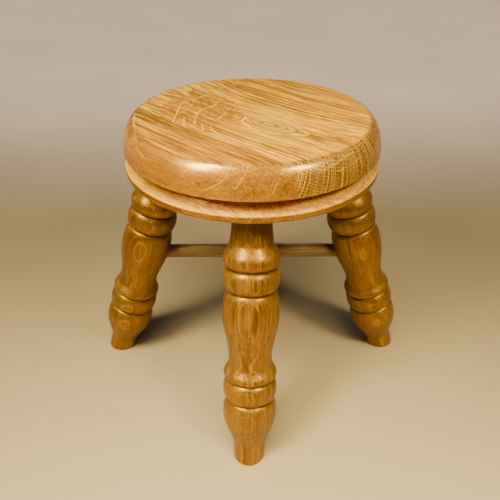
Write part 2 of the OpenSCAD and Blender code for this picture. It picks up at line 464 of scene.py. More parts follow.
class Bench:
    """Lays nodes out in one tree and joins them up."""

    def __init__(self, tree):
        self.tree = tree

    def add(self, kind, **settings):
        node = self.tree.nodes.new(kind)
        for name, value in settings.items():
            setattr(node, name, value)
        return node

    def feed(self, socket, value):
        """Gives a socket a number, a colour or another node's output."""
        if isinstance(value, bpy.types.NodeSocket):
            self.tree.links.new(value, socket)
        else:
            socket.default_value = value

    def maths(self, operation, *values):
        node = self.add("ShaderNodeMath", operation=operation)
        for socket, value in zip(node.inputs, values):
            self.feed(socket, value)
        return node.outputs["Value"]

    def times(self, *values):
        """The product of numbers and outputs."""
        product = values[0]
        for value in values[1:]:
            product = self.maths("MULTIPLY", product, value)
        return product

    def plus(self, *values):
        """The sum of numbers and outputs."""
        total = values[0]
        for value in values[1:]:
            total = self.maths("ADD", total, value)
        return total

    def minus(self, value, less):
        return self.maths("SUBTRACT", value, less)

    def apart(self, first, second):
        """How far apart two numbers are, whichever is larger."""
        return self.maths("ABSOLUTE", self.minus(first, second))

    def scaled(self, value, gain, base):
        """The value times the gain, plus the base."""
        return self.maths("MULTIPLY_ADD", value, gain, base)

    def swing(self, value, size):
        """A value from 0 to 1 laid out evenly round 0, with this much between its ends."""
        return self.scaled(value, size, -size / 2)

    def vector(self, operation, *values):
        node = self.add("ShaderNodeVectorMath", operation=operation)
        for socket, value in zip(node.inputs, values):
            self.feed(socket, value)
        number = operation in ("LENGTH", "DOT_PRODUCT", "DISTANCE")
        return node.outputs["Value" if number else "Vector"]

    def join(self, *values):
        node = self.add("ShaderNodeCombineXYZ")
        for socket, value in zip(node.inputs, values):
            self.feed(socket, value)
        return node.outputs["Vector"]

    def split(self, vector):
        node = self.add("ShaderNodeSeparateXYZ")
        self.feed(node.inputs["Vector"], vector)
        return node.outputs[:]

    def step(self, value, low, high):
        """Runs smoothly from 0 at low to 1 at high, whichever of the two is larger."""
        node = self.add("ShaderNodeMapRange", interpolation_type="SMOOTHSTEP")
        self.feed(node.inputs["Value"], value)
        self.feed(node.inputs["From Min"], low)
        self.feed(node.inputs["From Max"], high)
        return node.outputs["Result"]

    def noise(self, place, lengths, seed, detail=0.0):
        """Noise from 0 to 1 in patches about this long each way."""
        stretch = tuple(1 / length for length in lengths)
        node = self.add("ShaderNodeTexNoise")
        spot = self.vector("MULTIPLY_ADD", place, stretch, (seed, -seed, 2 * seed))
        self.feed(node.inputs["Vector"], spot)
        node.inputs["Scale"].default_value = 1
        node.inputs["Detail"].default_value = detail
        return node.outputs["Fac"]

    def mix(self, share, first, second, way="MIX"):
        """A share of the second colour laid over the first."""
        node = self.add("ShaderNodeMix", data_type="RGBA", blend_type=way)
        for index, value in ((MIX_SHARE, share), (MIX_FIRST, first), (MIX_SECOND, second)):
            self.feed(node.inputs[index], value)
        return node.outputs[MIX_RESULT]

    def ramp(self, value, stops):
        """A curve through (place, grey) stops, over a value from low to high."""
        low, high = stops[0][0], stops[-1][0]
        share = self.maths("DIVIDE", self.minus(value, low), high - low)
        node = self.add("ShaderNodeValToRGB")
        self.feed(node.inputs["Fac"], share)
        elements = node.color_ramp.elements
        while len(elements) < len(stops):
            elements.new(0.5)
        # Moving a stop can change the order of the others, so their colours come after
        for element, stop in zip(elements, stops):
            element.position = (stop[0] - low) / (high - low)
        for element, stop in zip(elements, stops):
            element.color = (stop[1], stop[1], stop[1], 1)
        return node.outputs["Color"]

    def most(self, masks):
        """The strongest of several masks."""
        strongest = masks[0]
        for mask in masks[1:]:
            strongest = self.maths("MAXIMUM", strongest, mask)
        return strongest

    def use(self, group, **values):
        """Places a group and gives it values by socket name, with _ for each space."""
        node = self.add("ShaderNodeGroup", node_tree=group)
        for name, value in values.items():
            self.feed(node.inputs[name.replace("_", " ").title()], value)
        return node.outputs

    def world_mm(self):
        """The stool's own coordinates in millimetres."""
        where = self.add("ShaderNodeTexCoord").outputs["Object"]
        return self.vector("DIVIDE", where, (MM, MM, MM))

    def wood_mm(self, origin, along, out):
        """Millimetres in a piece of wood: x along its grain, z out through its layers."""
        x = Vector(along).normalized()
        z = (Vector(out) - Vector(out).dot(x) * x).normalized()
        node = self.add("ShaderNodeMapping", vector_type="TEXTURE")
        self.feed(node.inputs["Vector"], self.add("ShaderNodeTexCoord").outputs["Object"])
        node.inputs["Location"].default_value = Vector(origin) * MM
        node.inputs["Rotation"].default_value = Matrix((x, z.cross(x), z)).transposed().to_euler()
        node.inputs["Scale"].default_value = (MM, MM, MM)
        return node.outputs["Vector"]


def start_group(name, inputs, outputs):
    """A group with input sockets of given values and output sockets of given kinds."""
    group = bpy.data.node_groups.new(name, "ShaderNodeTree")
    kinds = {1: "NodeSocketFloat", 3: "NodeSocketVector", 4: "NodeSocketColor"}
    for label, value in inputs.items():
        size = len(value) if isinstance(value, tuple) else 1
        socket = group.interface.new_socket(label, in_out="INPUT", socket_type=kinds[size])
        socket.default_value = value
    for label, kind in outputs.items():
        group.interface.new_socket(label, in_out="OUTPUT", socket_type="NodeSocket" + kind)
    bench = Bench(group)
    given = bench.add("NodeGroupInput").outputs
    return group, bench, given, bench.add("NodeGroupOutput").inputs


# Oak

OAK_SOCKETS = {
    "Place": (0.0, 0.0, 0.0),
    "Pith": 100.0,
    "Layer Width": 2.2,
    "Swell": 0.0,
    "Tone": 0.5,
    "Pale": (0.7, 0.3, 0.05, 1.0),
    "Deep": (0.4, 0.15, 0.02, 1.0),
    "Pore": (0.2, 0.07, 0.01, 1.0),
    "Ray": (0.8, 0.42, 0.09, 1.0),
    "Streaks": 1.0,
    "Coarseness": 1.0,
    "Early Wood": 0.35,
    "Edge Lines": 0.2,
    "Pores": 0.5,
    "Small Rays": 0.3,
    "Broad Rays": 0.3,
    "End Grain": 0.0,
}


def growth_layers(bench, given):
    """Distance from the pith, arc round it, early wood, and the pale line that ends a year."""
    y, z = bench.split(given["Place"])[1:]
    depth = bench.plus(z, given["Pith"])
    waver = bench.noise(given["Place"], lengths=(150, 24, 24), seed=3.1, detail=1)
    radius = bench.vector("LENGTH", bench.join(0.0, y, depth))
    radius = bench.plus(radius, bench.plus(bench.swing(waver, 5.0), given["Swell"]))
    arc = bench.times(bench.maths("ARCTAN2", y, depth), given["Pith"])
    layer = bench.maths("DIVIDE", radius, given["Layer Width"])
    share = bench.maths("FRACT", layer)
    year = bench.add("ShaderNodeTexWhiteNoise", noise_dimensions="1D")
    bench.feed(year.inputs["W"], bench.maths("FLOOR", layer))
    vigour = bench.scaled(year.outputs["Value"], 0.7, 0.3)
    band = bench.times(bench.step(share, 0.65, 0.1), 0.45)
    line = bench.step(share, 0.3, 0.05)
    early = bench.times(bench.most((band, line)), vigour)
    late_line = bench.times(bench.step(bench.apart(share, 0.86), 0.14, 0.02), vigour)
    return radius, arc, early, late_line


def fibre_tone(bench, given, fine_place):
    """The wood's tone with its broad streaks, and its coarse and fine fibres."""
    broad = bench.noise(given["Place"], lengths=(260, 7, 7), seed=7.7, detail=1)
    coarse = bench.noise(fine_place, lengths=(80, 1.6, 1.6), seed=1.9, detail=1)
    fine = bench.noise(fine_place, lengths=(26, 0.9, 0.9), seed=4.3)
    streak = bench.plus(bench.swing(broad, 2.2), bench.swing(coarse, 4.0), bench.swing(fine, 2.0))
    tone = bench.add("ShaderNodeClamp")
    streak = bench.times(streak, given["Streaks"])
    bench.feed(tone.inputs["Value"], bench.plus(given["Tone"], streak))
    return tone.outputs["Result"]


def open_pores(bench, fine_place, early):
    """Open vessels, single and in rows, densest in the early wood."""
    vessels = bench.noise(fine_place, lengths=(10, 0.5, 0.5), seed=5.9)
    rows = bench.noise(fine_place, lengths=(30, 0.95, 0.95), seed=9.1)
    pores = bench.most((bench.step(vessels, 0.56, 0.64), bench.step(rows, 0.54, 0.62)))
    return bench.times(pores, bench.scaled(early, 0.5, 0.5))


def ray_flash(bench, given, radius, arc, late_line):
    """Small and broad rays along the grain, and bars across the end grain."""
    x = bench.split(given["Place"])[0]
    spot = bench.join(x, arc, radius)
    small = bench.noise(spot, lengths=(11, 0.5, 14), seed=2.3)
    broad = bench.noise(spot, lengths=(34, 1.5, 60), seed=6.5)
    bars = bench.noise(spot, lengths=(60, 0.8, 70), seed=8.2)
    small = bench.times(bench.step(small, 0.60, 0.70), given["Small Rays"])
    broad = bench.times(bench.step(broad, 0.56, 0.64), given["Broad Rays"])
    bars = bench.most((bench.step(bars, 0.56, 0.63), bench.times(late_line, 0.8)))
    bars = bench.times(bars, bench.times(given["End Grain"], 0.8))
    return bench.most((small, broad, bars))


def darker_ends(bench, given):
    """How much darker end grain is, with its open cells."""
    cells = bench.noise(given["Place"], lengths=(5, 1.7, 1.9), seed=3.3)
    cells = bench.times(bench.step(cells, 0.42, 0.54), given["End Grain"])
    return bench.scaled(cells, 0.25, bench.times(given["End Grain"], 0.7))


def oak_group():
    """Oak as a solid: growth layers round a pith, streaks, fibres, pores and rays."""
    group, bench, given, out = start_group(
        "oak", OAK_SOCKETS, {"Color": "Color", "Pits": "Float"}
    )
    fine_place = bench.vector("DIVIDE", given["Place"], bench.join(*(given["Coarseness"],) * 3))
    radius, arc, early, late_line = growth_layers(bench, given)
    pits = open_pores(bench, fine_place, early)
    colour = bench.mix(fibre_tone(bench, given, fine_place), given["Deep"], given["Pale"])
    layers = (
        (bench.times(early, given["Early Wood"]), "Pore"),
        (darker_ends(bench, given), "Pore"),
        (bench.times(pits, given["Pores"]), "Pore"),
        (bench.times(late_line, given["Edge Lines"]), "Ray"),
        (ray_flash(bench, given, radius, arc, late_line), "Ray"),
    )
    for share, paint in layers:
        colour = bench.mix(share, colour, given[paint])
    bench.feed(out["Color"], colour)
    bench.feed(out["Pits"], pits)
    return group


# Marks and creases


def stroke_group():
    """A thin round stroke: 1 near its middle line and 0 outside it."""
    sockets = {
        "Place": (0.0, 0.0, 0.0),
        "Middle": (0.0, 0.0, 0.0),
        "Turn": (0.0, 0.0, 0.0),
        "Reach": (1.0, 0.0, 0.0),
        "Half": 0.5,
    }
    group, bench, given, out = start_group("stroke", sockets, {"Mark": "Float"})
    laid = bench.add("ShaderNodeMapping", vector_type="TEXTURE")
    for socket, label in (("Vector", "Place"), ("Location", "Middle"), ("Rotation", "Turn")):
        bench.feed(laid.inputs[socket], given[label])
    folded = bench.vector("ABSOLUTE", laid.outputs["Vector"])
    past = bench.vector("SUBTRACT", folded, given["Reach"])
    past = bench.vector("LENGTH", bench.vector("MAXIMUM", past, (0.0, 0.0, 0.0)))
    outside = bench.plus(given["Half"], 0.45)
    inside = bench.times(given["Half"], 0.4)
    bench.feed(out["Mark"], bench.step(past, outside, inside))
    return group


def crease_group():
    """Grime and shade in the turned creases, by the way down the leg from the seat."""
    group, bench, given, out = start_group(
        "crease grime", {"Down": 0.0, "Reach": 2.0}, {"Grime": "Float"}
    )
    masks = []
    for crease in CREASES:
        gap = bench.apart(given["Down"], crease[0])
        masks.append(bench.step(gap, given["Reach"], 0.2))
    bench.feed(out["Grime"], bench.most(masks))
    return group


def top_height(x, y):
    """Height of the dished top at a point."""
    reach = min(math.hypot(x, y) / DISH_R, 1)
    return STOOL_H - DISH_DEPTH * (1 - reach * reach)


def marks(bench, place, stroke, lines):
    """One mask of all the marks that run through rows of points."""
    mask = 0.0
    for half, *points in lines:
        spots = [p if len(p) == 3 else (*p, top_height(*p)) for p in points]
        for start, end in zip(spots, spots[1:]):
            middle = (Vector(start) + Vector(end)) / 2
            way = Vector(end) - Vector(start)
            turned = way.to_track_quat("X", "Z").to_euler()
            mark = bench.use(
                stroke,
                place=place,
                middle=tuple(middle),
                turn=tuple(turned),
                reach=(way.length / 2, 0.0, 0.0),
                half=half,
            )
            mask = bench.maths("MAXIMUM", mask, mark["Mark"])
    return mask


def draw(bench, colour, place, stroke, lines, share, paint):
    """Paints marks on a wood's colour."""
    mask = marks(bench, place, stroke, lines)
    return bench.mix(bench.times(mask, share), colour, paint)


def unsteady(bench, place, by_mm):
    """Places shifted a little this way and that, so that no mark is drawn with a ruler."""
    node = bench.add("ShaderNodeTexNoise")
    bench.feed(node.inputs["Vector"], bench.vector("DIVIDE", place, (7.0, 7.0, 7.0)))
    node.inputs["Scale"].default_value = 1
    centred = bench.vector("SUBTRACT", node.outputs["Color"], (0.5, 0.5, 0.5))
    return bench.vector("MULTIPLY_ADD", centred, (2 * by_mm,) * 3, place)


# Varnish

# Dark brown for knots, torn grain and a dent, and also for painted shade in the seat's groove
DARK_MARK_AND_SHADE = (0.03, 0.009, 0.002, 1)
VARNISH = {
    "IOR": 2.1,
    "Specular Tint": (1, 0.5, 0.06, 1),
    "Coat Roughness": 0.3,
    "Coat Weight": 0.1,
}
SEAT_GLOSS, LEG_GLOSS, STRETCHER_GLOSS = 1.0, 0.7, 0.3
PIT_STRENGTH = 0.9


def varnished(wood_name, gloss):
    """A new wood material with golden-tinted varnish under a little wax, its bench and shader."""
    wood = bpy.data.materials.new(wood_name)
    wood.use_nodes = True
    shader = wood.node_tree.nodes["Principled BSDF"]
    for name, value in {**VARNISH, "Specular IOR Level": gloss}.items():
        shader.inputs[name].default_value = value
    return wood, Bench(wood.node_tree), shader


def paint(bench, shader, colour, pits, rough, rougher_pits, pit_depth):
    """Gives varnished wood its colour and roughness, and sinks its pores a little."""
    bench.feed(shader.inputs["Base Color"], colour)
    bench.feed(shader.inputs["Roughness"], bench.scaled(pits, rougher_pits, rough))
    bump = bench.add("ShaderNodeBump", invert=True)
    bump.inputs["Strength"].default_value = PIT_STRENGTH
    bump.inputs["Distance"].default_value = pit_depth * MM
    bench.feed(bump.inputs["Height"], pits)
    bench.feed(shader.inputs["Normal"], bump.outputs["Normal"])


# Seat oak

# Painted shade that darkens the rounded edge
EDGE_PAINTED_SHADE = (0.55, 0.5, 0.55, 1)
# Painted light in the cove: a lift, a pale tint, and a golden painted highlight for its left end
COVE_PAINTED_LIGHT = (1.25, 1.36, 1.0, 1)
COVE_PAINTED_LIGHT_PALE = (0.95, 0.5, 0.12, 1)
COVE_PAINTED_HIGHLIGHT = (1.0, 0.52, 0.008, 1)
RIM_BROWN = (0.27, 0.24, 0.26, 1)
FRONT_RAY = (0.95, 0.5, 0.06, 1)
KNOCK_PALE = (0.8, 0.55, 0.25, 1)
MIDDLE_RAY = (0.98, 0.54, 0.05, 1)
MIDDLE_STREAK = (0.2, 0.066, 0.01, 1)
FLECK_GROUND = (0.5, 0.2, 0.02, 1)
FLECK = (0.12, 0.04, 0.006, 1)
BACK_STREAK = (0.13, 0.04, 0.008, 1)

# Tone of each board, from 0 for deep to 1 for pale, by the way across the grain
FRONT_TONES = (
    (-126, 0.85), (-106, 0.7), (-94, 0.5), (-84, 0.35), (-77, 0.0), (-67, 0.0), (-63, 0.3),
)
MIDDLE_TONES = (
    (-63, 0.85), (-56, 0.95), (-50, 0.66), (-36, 0.6), (-16, 0.66),
    (14, 0.78), (34, 0.92), (42, 0.82), (47, 0.48),
)
BACK_TONES = (
    (47, 0.3), (54, 0.22), (60, 0.5), (68, 0.75), (76, 0.35),
    (84, 0.72), (98, 0.5), (106, 0.4), (126, 0.6),
)
# The tone that the front board's rounded edge tends to
FRONT_EDGE_TONE = 0.56

# Bulges of the growth layers that the turning cut into an oval eye: centre along and across
# the grain, half widths, and how far the layers rise
EYE_BULGES = (((24, -3), (30, 12), -8.0), ((20, -6), (60, 30), -5.0))
# The part of the top round the eye where streaks are weak: centre and half widths, from above
EYE_AT, EYE_REACH = (16.0, -19.0), (38.0, 26.0)
# The net of flecks: centre and half widths from above, the heights between which it appears,
# then each row's bearing, patch lengths and seed
NET_AT, NET_REACH = (-50.0, 16.0), (50.0, 60.0)
NET_HEIGHTS = (STOOL_H - 11, STOOL_H - 7)
NET_ROWS = ((-6, (5.0, 1.3), 2.1), (-52, (4.5, 1.2), 5.3))

# Pale ray marks on the middle board's top: half width, then points from above
MIDDLE_RAYS = (
    (0.5, (-48, 60), (-58, 49), (-67, 40), (-72, 31), (-73, 17), (-74, -10), (-74, -18)),
    (0.45, (-35, 37), (-41, 28), (-49, 19), (-53, 12), (-54, 0), (-54, -21)),
    (0.5, (-65, -9), (-64, -22), (-61, -32)),
    (0.45, (-47, -21), (-45, -38)),
    (0.5, (-26, 6), (-31, -2), (-35, -11)),
    (0.55, (-39, -28), (-36, -36), (-31, -46), (-24, -55)),
    (0.9, (-7, 1), (-10, -9), (-7, -19), (-1, -30), (8, -37)),
    (0.6, (8, -37), (20, -43), (24, -42)),
    (0.25, (60, -19), (60, -36)),
    (0.35, (31, -117, 292), (53, -109, 292), (71, -96, 296), (84, -82, 298)),
    (0.35, (69, -101, 289), (87, -85, 291), (97, -71, 294)),
    (0.4, (48, -112, 260), (54, -104, 263)),
    (0.4, (66, -104, 260), (77, -88, 263)),
    (0.4, (73, -102, 260), (82, -89, 261)),
)
# Dark grain streaks on the middle board's top
MIDDLE_STREAKS = (
    (0.5, (8, -65), (21, -72), (34, -78), (49, -82)),
    (0.35, (-55, 3), (-44, -20), (-26, -42), (-8, -56)),
    (0.9, (65, -95, 300), (69, -96, 297)),
    (0.6, (50, -110, 293), (51, -110, 292)),
)
# Dark grain streaks on the back board's top
BACK_STREAKS = (
    (0.8, (53, 49), (66, 38), (81, 26), (92, 16), (100, 9)),
    (0.7, (-8, 103), (8, 100), (20, 94)),
    (0.5, (-20, 96), (4, 78), (30, 58)),
)
# Pale ray marks round the rounded edge of the front board, as points in space
EDGE_RAYS = (
    (0.4, (-17, -112, 301), (-18, -116, 297), (-20, -119, 294), (-24, -120, 290),
     (-28, -120, 287), (-34, -119, 283), (-39, -118, 280)),
    (0.35, (-4, -114, 300), (-5, -118, 297), (-7, -120, 293), (-10, -122, 289), (-14, -123, 284)),
    (0.35, (20, -119, 292), (19, -121, 288), (16, -123, 282), (12, -124, 277)),
    (0.35, (-113, -3, 301), (-110, -22, 301), (-106, -39, 301), (-102, -56, 299),
     (-99, -65, 295), (-98, -71, 293), (-91, -80, 291), (-83, -88, 292)),
)
# Knocks in the varnish
KNOCKS = (
    (0.7, (-95, -48, 301), (-93, -50, 301)),
    (0.6, (-91, -54, 301), (-89, -56, 301)),
    (0.5, (-104, -53, 298), (-103, -56, 298)),
)


def from_axis(bench, world):
    """How far a point lies from the seat's axis."""
    x, y = bench.split(world)[:2]
    return bench.vector("LENGTH", bench.join(x, y, 0.0))


def round_edge(bench, world, inside, outside):
    """Runs from 0, this far inside the flat ring's outer rim, to 1, this far outside it."""
    return bench.step(from_axis(bench, world), FLAT_RING_R - inside, FLAT_RING_R + outside)


def grain_ways(bench, world):
    """How far along and across the seat's grain a point lies."""
    return [bench.vector("DOT_PRODUCT", world, tuple(way)) for way in (ALONG, ACROSS)]


def oval_reach(bench, point, centre, half_widths):
    """How far out in an oval a point lies: 0 at its centre and 1 on its outline."""
    offsets = [
        bench.maths("DIVIDE", bench.minus(value, middle), half)
        for value, middle, half in zip(point, centre, half_widths)
    ]
    return bench.vector("LENGTH", bench.join(*offsets, 0.0))


def board_tone(bench, world, tones, gain):
    """Tone across a board, which grows paler along the grain from left to right."""
    along, across = grain_ways(bench, world)
    wander = bench.noise(bench.join(along, across, 0.0), lengths=(90, 12, 1), seed=8.3, detail=1)
    across = bench.plus(across, bench.swing(wander, 7.0))
    return bench.scaled(along, gain, bench.ramp(across, tones))


def above_cove(bench, world):
    """The part of the seat that is above its cove."""
    return bench.step(bench.split(world)[2], WIDEST_H - 4, WIDEST_H + 1)


def end_grain(bench, world):
    """Where the turned edge cuts across the grain."""
    along = bench.maths("ABSOLUTE", grain_ways(bench, world)[0])
    across_grain = bench.maths("DIVIDE", along, from_axis(bench, world))
    share = bench.scaled(above_cove(bench, world), 0.7, 0.3)
    edge = round_edge(bench, world, 1.8, 1.2)
    return bench.times(bench.step(across_grain, 0.62, 0.86), share, edge)


def calm_edge(bench, world):
    """1 on the top, and less round the edge, where streaks and pores are weaker."""
    calm = bench.scaled(above_cove(bench, world), 0.5, 0.25)
    edge = round_edge(bench, world, 2.8, 4.2)
    return bench.minus(1.0, bench.times(edge, calm))


def board_oak(bench, world, oak, origin, layers_face, streaks, **looks):
    """The oak of a seat board, calmer round its edge than on its top."""
    calm = calm_edge(bench, world)
    return bench.use(
        oak,
        place=bench.wood_mm(origin + UP * STOOL_H, ALONG, layers_face),
        streaks=bench.times(calm, streaks),
        pores=bench.times(calm, 0.9),
        coarseness=1.3,
        **looks,
    )


def paint_cove_light_and_shade(bench, world, colour):
    """The cove painted paler as painted light, with a golden painted highlight at the left, and a
    dark groove of painted shade where it starts.
    """
    x, z = bench.split(world)[::2]
    low = bench.step(z, COVE_LOW_H - 1.4, COVE_LOW_H + 0.2)
    cove = bench.times(bench.step(z, WIDEST_H - 1, WIDEST_H - 5), low)
    # Painted light: the cove is made paler, and golden at its left end as a painted highlight
    colour = bench.mix(cove, colour, COVE_PAINTED_LIGHT, "MULTIPLY")
    painted_cove_light = bench.mix(bench.step(x, -50.0, -105.0), COVE_PAINTED_LIGHT_PALE, COVE_PAINTED_HIGHLIGHT)
    colour = bench.mix(bench.times(cove, 0.35), colour, painted_cove_light)
    # Painted shade: the groove under the bulge is darkened where the bulge keeps the light off
    groove_shade = bench.times(
        bench.step(z, COVE_LOW_H + 0.8, COVE_LOW_H + 5.5),
        bench.step(z, WIDEST_H + 2, WIDEST_H - 1),
        bench.step(from_axis(bench, world), SEAT_R - 4, SEAT_R - 8.5),
    )
    return bench.mix(bench.times(groove_shade, 0.95), colour, DARK_MARK_AND_SHADE)


def finish_seat(bench, shader, world, colour, pits):
    """A rubbed, duller top, paler than the glossy edge, which is darkened with painted shade; a
    brown rim; and a cove painted paler as painted light.
    """
    z = bench.split(world)[2]
    edge = round_edge(bench, world, 1.3, 3.2)
    # Painted shade: the rounded edge is darkened to stand in for the light that falls less on it
    # than on the top
    edge_shade = bench.times(edge, bench.step(z, WIDEST_H - 3, WIDEST_H + 1))
    colour = bench.mix(bench.times(edge_shade, 0.85), colour, EDGE_PAINTED_SHADE, "MULTIPLY")
    rim = bench.step(z, COVE_LOW_H + 0.2, COVE_LOW_H - 1.4)
    colour = paint_cove_light_and_shade(bench, world, bench.mix(rim, colour, RIM_BROWN, "MULTIPLY"))
    gloss = bench.times(edge, bench.step(z, SEAT_UNDER + 0.5, SEAT_UNDER + 4))
    bench.feed(shader.inputs["Coat Weight"], bench.times(gloss, 0.4))
    rough = bench.scaled(gloss, -0.34, 0.56)
    paint(bench, shader, colour, pits, rough, rougher_pits=0.12, pit_depth=0.06)


def front_board_oak(oak, stroke):
    """Brown oak, paler towards its edge, with ray marks and knocks."""
    wood, bench, shader = varnished("front_board_oak", SEAT_GLOSS)
    world = bench.world_mm()
    tone = board_tone(bench, world, FRONT_TONES, 0.001)
    edge = round_edge(bench, world, 1.8, 3.2)
    evened = bench.times(bench.minus(FRONT_EDGE_TONE, tone), 0.8)
    made = board_oak(
        bench,
        world,
        oak,
        origin=ACROSS * 20,
        layers_face=-UP,
        streaks=1.2,
        pith=110.0,
        layer_width=2.0,
        tone=bench.scaled(edge, evened, tone),
        pale=(0.78, 0.325, 0.006, 1),
        deep=(0.13, 0.047, 0.006, 1),
        pore=(0.06, 0.02, 0.003, 1),
        ray=(0.8, 0.42, 0.05, 1),
        early_wood=0.5,
        edge_lines=0.12,
        small_rays=0.25,
        broad_rays=0.1,
        end_grain=0.06,
    )
    shifted = unsteady(bench, world, 1.3)
    colour = draw(bench, made["Color"], shifted, stroke, EDGE_RAYS, 0.85, FRONT_RAY)
    colour = draw(bench, colour, shifted, stroke, KNOCKS, 0.7, KNOCK_PALE)
    finish_seat(bench, shader, world, colour, made["Pits"])
    return wood


def eye_swell(bench, world):
    """Growth layers that bulge up under the top, which the turning cut into an oval eye."""
    point = grain_ways(bench, world)
    swells = []
    for centre, half_widths, rise in EYE_BULGES:
        off = bench.maths("POWER", oval_reach(bench, point, centre, half_widths), 2.0)
        fade = bench.maths("POWER", math.e, bench.times(off, -1.0))
        swells.append(bench.times(fade, rise))
    return bench.plus(*swells)


def fleck_patch(bench, world):
    """A patch of the middle board's top, and a net of short crossing flecks for it."""
    x, y, z = bench.split(world)
    ragged = bench.swing(bench.noise(world, lengths=(18, 18, 18), seed=1.3), 0.7)
    reach = bench.plus(oval_reach(bench, (x, y), NET_AT, NET_REACH), ragged)
    patch = bench.times(bench.step(reach, 1.05, 0.6), bench.step(z, *NET_HEIGHTS))
    rows = []
    for degrees, lengths, seed in NET_ROWS:
        bearing = math.radians(degrees)
        along, across = on_circle(1, bearing, 0), on_circle(1, bearing + math.pi / 2, 0)
        ways = [bench.vector("DOT_PRODUCT", world, tuple(way)) for way in (along, across)]
        row = bench.noise(bench.join(*ways, 0.0), lengths=(*lengths, 1.0), seed=seed)
        rows.append(bench.step(row, 0.56, 0.61))
    return patch, bench.most(rows)


def middle_board_oak(oak, stroke):
    """Pale oak with an oval eye, a net of flecks, ray marks and grain streaks."""
    wood, bench, shader = varnished("middle_board_oak", SEAT_GLOSS)
    world = bench.world_mm()
    off_eye = oval_reach(bench, bench.split(world)[:2], EYE_AT, EYE_REACH)
    lively = bench.scaled(bench.step(off_eye, 0.7, 1.2), 0.65, 0.35)
    made = board_oak(
        bench,
        world,
        oak,
        origin=ACROSS * -3,
        layers_face=-UP,
        streaks=bench.times(lively, 1.2),
        pith=100.0,
        layer_width=2.6,
        swell=eye_swell(bench, world),
        tone=board_tone(bench, world, MIDDLE_TONES, 0.0013),
        pale=(0.9, 0.41, 0.005, 1),
        deep=(0.22, 0.083, 0.004, 1),
        pore=(0.09, 0.03, 0.004, 1),
        ray=(0.95, 0.52, 0.05, 1),
        early_wood=1.5,
        edge_lines=0.6,
        small_rays=0.2,
        broad_rays=0.2,
        end_grain=end_grain(bench, world),
    )
    patch, net = fleck_patch(bench, world)
    colour = bench.mix(bench.times(patch, 0.15), made["Color"], FLECK_GROUND)
    colour = bench.mix(bench.times(patch, net, 0.75), colour, FLECK)
    shifted = unsteady(bench, world, 1.7)
    colour = draw(bench, colour, shifted, stroke, MIDDLE_STREAKS, 0.7, MIDDLE_STREAK)
    colour = draw(bench, colour, shifted, stroke, MIDDLE_RAYS, 0.85, MIDDLE_RAY)
    finish_seat(bench, shader, world, colour, made["Pits"])
    return wood


def back_board_oak(oak, stroke):
    """Golden oak with dark grain streaks."""
    wood, bench, shader = varnished("back_board_oak", SEAT_GLOSS)
    world = bench.world_mm()
    made = board_oak(
        bench,
        world,
        oak,
        origin=ACROSS * 140,
        layers_face=UP,
        streaks=1.3,
        pith=60.0,
        layer_width=2.3,
        tone=board_tone(bench, world, BACK_TONES, 0.0012),
        pale=(0.95, 0.43, 0.008, 1),
        deep=(0.25, 0.095, 0.006, 1),
        pore=(0.075, 0.025, 0.004, 1),
        ray=(0.85, 0.46, 0.05, 1),
        early_wood=0.8,
        small_rays=0.2,
        broad_rays=0.15,
        end_grain=end_grain(bench, world),
    )
    shifted = unsteady(bench, world, 1.2)
    colour = draw(bench, made["Color"], shifted, stroke, BACK_STREAKS, 0.9, BACK_STREAK)
    finish_seat(bench, shader, world, colour, made["Pits"])
    return wood


# Leg and stretcher oak

LEG_PALE, LEG_DEEP = (0.14, 0.06, 0.003, 1), (0.038, 0.0135, 0.001, 1)
STRIP_PALE, STRIP_DEEP = (0.09, 0.037, 0.003, 1), (0.04, 0.015, 0.001, 1)
# Grime and painted shade in the legs' creases
CREASE_GRIME_AND_SHADE = (0.025, 0.007, 0.001, 1)
# Change of tone for each millimetre down a leg: painted shade, darker towards the floor, where
# the light from above falls less
SHADE_DOWN_LEG = -0.0018

# The way that growth layers face (bearing in degrees), how far behind the axis the pith lies,
# a start along the grain that makes each its own piece of wood, and the tone at the seat
LEG_GRAIN = {
    "leg_front": (-92, 85.0, 0, 0.7),
    "leg_right": (-85, 90.0, 400, 0.7),
    "leg_back": (60, 70.0, 800, 0.7),
    # The left leg's lower tone is painted shade: it offsets the strong left softbox on that leg
    "leg_left": (-100, 75.0, 1200, 0.32),
    "leg_right_strip": (60, 70.0, 800, 0.7),
}
# Small knots of the right leg, and the torn grain and dent of the left foot
LEG_MARKS = {
    "leg_right": (
        (1.1, (138.1, -20.9, 134.0), (138.1, -20.9, 136.5)),
        (0.9, (156.7, -1.8, 106.0), (158.9, -3.8, 103.8)),
        (1.0, (157.1, -18.6, 18.0), (157.1, -18.6, 20.5)),
    ),
    "leg_left": (
        (0.7, (-167.1, -26.7, 46.0), (-168.0, -24.5, 36.0), (-168.5, -21.4, 25.0)),
        (1.0, (-166.2, -23.2, 9.0), (-166.2, -23.2, 11.0)),
    ),
}
ROD_LAYERS_FACE = (0.2, -0.9, 0.4)
# Torn grain near the right end of the low stretcher
STRETCHER_MARKS = (
    (0.5, (89.5, -8.4, 143.5), (92.5, -8.3, 142.5), (95.5, -7.6, 137.5)),
)


